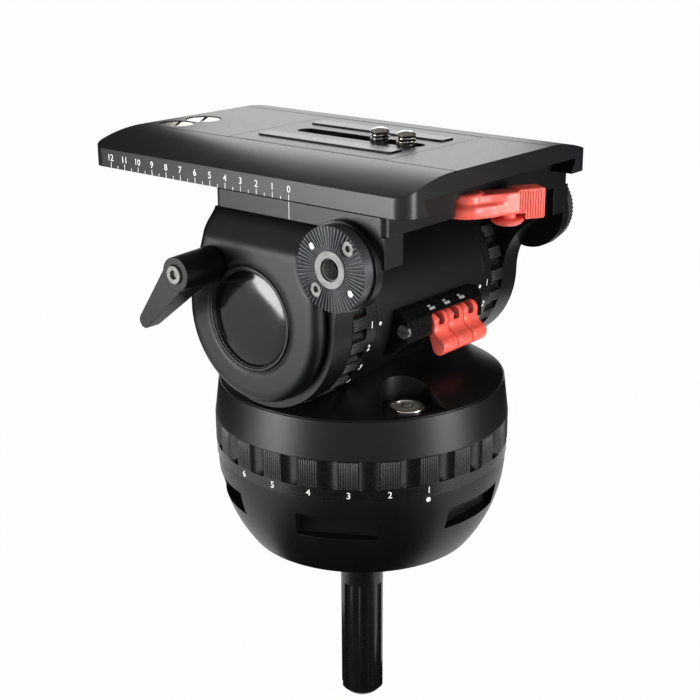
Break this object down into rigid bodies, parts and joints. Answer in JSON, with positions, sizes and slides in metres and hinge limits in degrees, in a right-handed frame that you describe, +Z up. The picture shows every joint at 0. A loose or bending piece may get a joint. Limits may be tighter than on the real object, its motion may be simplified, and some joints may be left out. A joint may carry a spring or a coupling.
{
  "type": "fluid video head",
  "caption": "Black fluid head with a levelling half-ball, pan base, tilt drum between two arms, toothed rosettes, a sliding camera plate and red levers.",
  "frame": {"origin": "centre of the levelling half-ball, on the pan axis", "axes": "+Y the lens direction, +X the operator's right, +Z up along the pan axis"},
  "size_m": [0.2081, 0.2118, 0.3146],
  "materials": {
    "powder_coat": "fine satin black coat",
    "grip_plastic": "moulded matt black",
    "red_plastic": "moulded satin red",
    "nickel_steel": "bright nickel plate",
    "bearing_steel": "ground",
    "bare_aluminium": "turned",
    "toothed_alloy": "black anodised",
    "gloss_badge": "gloss black",
    "white_dowel": "white",
    "vial": "clear, tinted fluid",
    "rubber": "smooth black"
  },
  "bodies": {
    "base": {"half_ball": "powder_coat", "pan_drag_case": "bare_aluminium", "pan_drag_stators": "bare_aluminium", "tie_down_stud": "nickel_steel"},
    "clamp": {"clamp_dish": "powder_coat"},
    "tie_down": {"tie_down_handle": "grip_plastic"},
    "pan": {"pan_housing": "powder_coat", "pan_bearing": "bearing_steel", "pan_drag_rotor": "bare_aluminium", "tilt_drum": "powder_coat", "tilt_shaft": "nickel_steel", "balance_springs": "bearing_steel", "balance_block": "grip_plastic", "lever_pin": "nickel_steel", "level_bezel": "nickel_steel", "level_vial": "vial"},
    "pan_ring": {"pan_drag_ring": "grip_plastic"},
    "lever_1": {"balance_lever_1": "red_plastic"},
    "lever_2": {"balance_lever_2": "red_plastic"},
    "lever_3": {"balance_lever_3": "red_plastic"},
    "tilt_ring_left": {"tilt_drag_ring_left": "grip_plastic"},
    "tilt_ring_right": {"tilt_drag_ring_right": "grip_plastic"},
    "pan_brake": {"pan_brake_lever": "grip_plastic", "pan_brake_screw": "nickel_steel"},
    "tilt": {"receiver": "powder_coat", "arm_left": "powder_coat", "arm_right": "powder_coat", "side_cover_left": "powder_coat", "side_cover_right": "powder_coat", "badge_bezel": "toothed_alloy", "badge_disc": "gloss_badge", "rosette_left": "toothed_alloy", "rosette_right": "toothed_alloy", "rosette_insert_left": "nickel_steel", "rosette_insert_right": "nickel_steel", "rosette_screws": "nickel_steel", "rosette_dowels": "white_dowel", "tilt_bearings": "bearing_steel", "tilt_drag_rotors": "bare_aluminium", "lock_pin": "nickel_steel"},
    "tilt_brake": {"tilt_brake_lever": "grip_plastic", "tilt_brake_screw": "nickel_steel"},
    "lock": {"plate_lock_lever": "red_plastic"},
    "jaw": {"clamp_jaw": "bare_aluminium"},
    "button": {"safety_button": "red_plastic"},
    "plate": {"camera_plate": "powder_coat", "top_panel": "powder_coat", "rubber_strips": "rubber", "spare_screws": "nickel_steel"},
    "slider_front": {"screw_slider_front": "bearing_steel"},
    "slider_rear": {"screw_slider_rear": "bearing_steel"},
    "screw_front": {"camera_screw_front": "nickel_steel"},
    "screw_rear": {"camera_screw_rear": "nickel_steel"}
  },
  "joints": [
    {"name": "tie_down_travel", "type": "slide", "parent": "base", "child": "clamp", "axis": [0, 0, -1], "range_m": [0, 0.00525]},
    {"name": "tie_down_turn", "type": "hinge", "parent": "clamp", "child": "tie_down", "pos_m": [0, 0, 0], "axis": [0, 0, -1], "range_deg": [0, 1080]},
    {"name": "pan_turn", "type": "hinge", "parent": "base", "child": "pan", "pos_m": [0, 0, 0], "axis": [0, 0, 1], "continuous": true},
    {"name": "pan_drag_set", "type": "hinge", "parent": "base", "child": "pan_ring", "pos_m": [0, 0, 0], "axis": [0, 0, 1], "range_deg": [-15, 75]},
    {"name": "tilt_turn", "type": "hinge", "parent": "pan", "child": "tilt", "pos_m": [0, 0, 0.0867], "axis": [1, 0, 0], "range_deg": [-70, 60]},
    {"name": "tilt_drag_left_set", "type": "hinge", "parent": "pan", "child": "tilt_ring_left", "pos_m": [0, 0, 0.0867], "axis": [1, 0, 0], "range_deg": [-75, 15]},
    {"name": "tilt_drag_right_set", "type": "hinge", "parent": "pan", "child": "tilt_ring_right", "pos_m": [0, 0, 0.0867], "axis": [1, 0, 0], "range_deg": [-75, 15]},
    {"name": "balance_lever_1_flip", "type": "hinge", "parent": "pan", "child": "lever_1", "pos_m": [0, -0.0502, 0.0777], "axis": [1, 0, 0], "range_deg": [-30, 0]},
    {"name": "balance_lever_2_flip", "type": "hinge", "parent": "pan", "child": "lever_2", "pos_m": [0, -0.0502, 0.0777], "axis": [1, 0, 0], "range_deg": [-30, 0]},
    {"name": "balance_lever_3_flip", "type": "hinge", "parent": "pan", "child": "lever_3", "pos_m": [0, -0.0502, 0.0777], "axis": [1, 0, 0], "range_deg": [-30, 0]},
    {"name": "pan_brake_turn", "type": "hinge", "parent": "pan", "child": "pan_brake", "pos_m": [0, 0, 0.03], "axis": [0.8192, 0.5736, 0], "range_deg": [0, 60]},
    {"name": "tilt_brake_turn", "type": "hinge", "parent": "tilt", "child": "tilt_brake", "pos_m": [-0.09, 0.023, 0.109], "axis": [1, 0, 0], "range_deg": [-30, 60]},
    {"name": "plate_lock_turn", "type": "hinge", "parent": "tilt", "child": "lock", "pos_m": [-0.0115, -0.0708, 0.138], "axis": [0, 0, 1], "range_deg": [-60, 0]},
    {"name": "jaw_slide", "type": "slide", "parent": "tilt", "child": "jaw", "axis": [1, 0, 0], "range_m": [0, 0.001]},
    {"name": "safety_press", "type": "slide", "parent": "lock", "child": "button", "axis": [0, 0, 1], "range_m": [0, 0.002], "stiffness_N_per_m": 400},
    {"name": "plate_slide", "type": "slide", "parent": "tilt", "child": "plate", "axis": [0, -1, 0], "range_m": [0, 0.12]},
    {"name": "screw_front_slide", "type": "slide", "parent": "plate", "child": "slider_front", "axis": [0, 1, 0], "range_m": [0, 0.045]},
    {"name": "screw_rear_slide", "type": "slide", "parent": "plate", "child": "slider_rear", "axis": [0, 1, 0], "range_m": [-0.003, 0]},
    {"name": "screw_front_turn", "type": "hinge", "parent": "slider_front", "child": "screw_front", "pos_m": [0, -0.012, 0.16], "axis": [0, 0, 1], "continuous": true},
    {"name": "screw_rear_turn", "type": "hinge", "parent": "slider_rear", "child": "screw_rear", "pos_m": [0, -0.028, 0.16], "axis": [0, 0, 1], "continuous": true}
  ],
  "couplings": [
    {"joint": "tie_down_turn", "follows": "tie_down_travel", "rad_per_m": 3590.4},
    {"joint": "jaw_slide", "follows": "plate_lock_turn", "m_per_rad": -0.00095}
  ]
}
